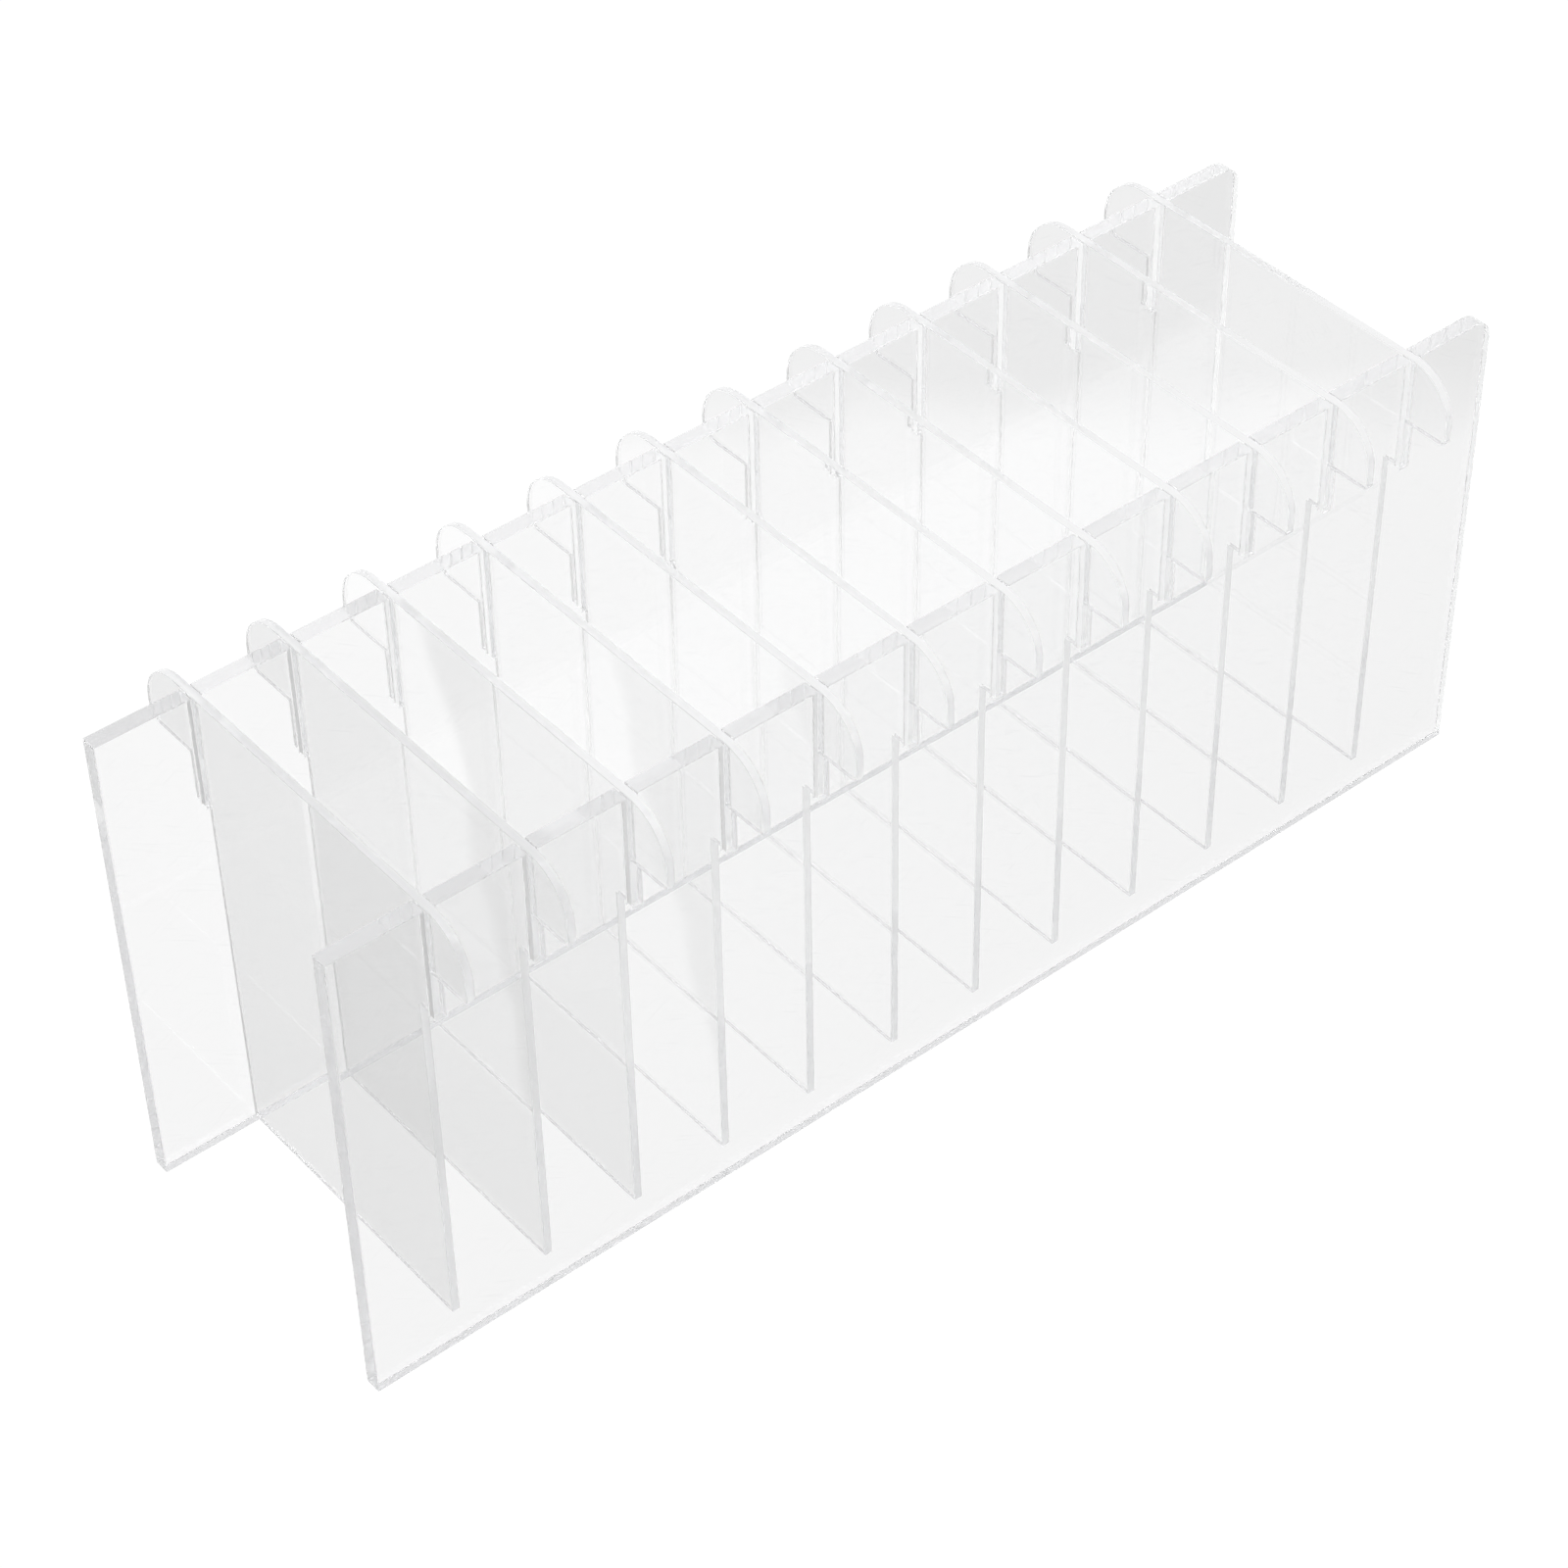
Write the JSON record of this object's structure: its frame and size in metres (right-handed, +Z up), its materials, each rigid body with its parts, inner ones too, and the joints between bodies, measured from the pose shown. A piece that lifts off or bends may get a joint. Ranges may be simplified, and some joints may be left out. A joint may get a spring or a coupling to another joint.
{
  "type": "card sorting tray",
  "caption": "Knock-down clear acrylic card sorting tray: two slotted side rails on edge and eared cross dividers that drop into them, open above and below.",
  "frame": {"origin": "on the table, at the middle of the bounding box of the assembled tray, which is the dividers' mid plane", "axes": "+X along the rails towards the end with the rounded top corners, +Y from the front rail to the back rail, +Z up"},
  "size_m": [0.3, 0.105, 0.1186],
  "materials": {
    "rail_acrylic": "clear colourless cast acrylic, polished faces, fine laser-cut edges",
    "divider_acrylic": "clear colourless thin acrylic, polished faces, fine laser-cut edges"
  },
  "bodies": {
    "rail_front": {"rail_front": "rail_acrylic"},
    "rail_back": {"rail_back": "rail_acrylic"},
    "divider_01": {"divider_01": "divider_acrylic"},
    "divider_02": {"divider_02": "divider_acrylic"},
    "divider_03": {"divider_03": "divider_acrylic"},
    "divider_04": {"divider_04": "divider_acrylic"},
    "divider_05": {"divider_05": "divider_acrylic"},
    "divider_06": {"divider_06": "divider_acrylic"},
    "divider_07": {"divider_07": "divider_acrylic"},
    "divider_08": {"divider_08": "divider_acrylic"},
    "divider_09": {"divider_09": "divider_acrylic"},
    "divider_10": {"divider_10": "divider_acrylic"},
    "divider_11": {"divider_11": "divider_acrylic"},
    "divider_12": {"divider_12": "divider_acrylic"}
  },
  "joints": [
    {"name": "rail_back_pull_off", "type": "slide", "parent": "rail_front", "child": "rail_back", "axis": [0, 1, 0], "range_m": [0, 0.024]},
    {"name": "divider_01_lift_out", "type": "slide", "parent": "rail_front", "child": "divider_01", "axis": [0, 0, 1], "range_m": [0, 0.125]},
    {"name": "divider_02_lift_out", "type": "slide", "parent": "rail_front", "child": "divider_02", "axis": [0, 0, 1], "range_m": [0, 0.125]},
    {"name": "divider_03_lift_out", "type": "slide", "parent": "rail_front", "child": "divider_03", "axis": [0, 0, 1], "range_m": [0, 0.125]},
    {"name": "divider_04_lift_out", "type": "slide", "parent": "rail_front", "child": "divider_04", "axis": [0, 0, 1], "range_m": [0, 0.125]},
    {"name": "divider_05_lift_out", "type": "slide", "parent": "rail_front", "child": "divider_05", "axis": [0, 0, 1], "range_m": [0, 0.125]},
    {"name": "divider_06_lift_out", "type": "slide", "parent": "rail_front", "child": "divider_06", "axis": [0, 0, 1], "range_m": [0, 0.125]},
    {"name": "divider_07_lift_out", "type": "slide", "parent": "rail_front", "child": "divider_07", "axis": [0, 0, 1], "range_m": [0, 0.125]},
    {"name": "divider_08_lift_out", "type": "slide", "parent": "rail_front", "child": "divider_08", "axis": [0, 0, 1], "range_m": [0, 0.125]},
    {"name": "divider_09_lift_out", "type": "slide", "parent": "rail_front", "child": "divider_09", "axis": [0, 0, 1], "range_m": [0, 0.125]},
    {"name": "divider_10_lift_out", "type": "slide", "parent": "rail_front", "child": "divider_10", "axis": [0, 0, 1], "range_m": [0, 0.125]},
    {"name": "divider_11_lift_out", "type": "slide", "parent": "rail_front", "child": "divider_11", "axis": [0, 0, 1], "range_m": [0, 0.125]},
    {"name": "divider_12_lift_out", "type": "slide", "parent": "rail_front", "child": "divider_12", "axis": [0, 0, 1], "range_m": [0, 0.125]}
  ]
}
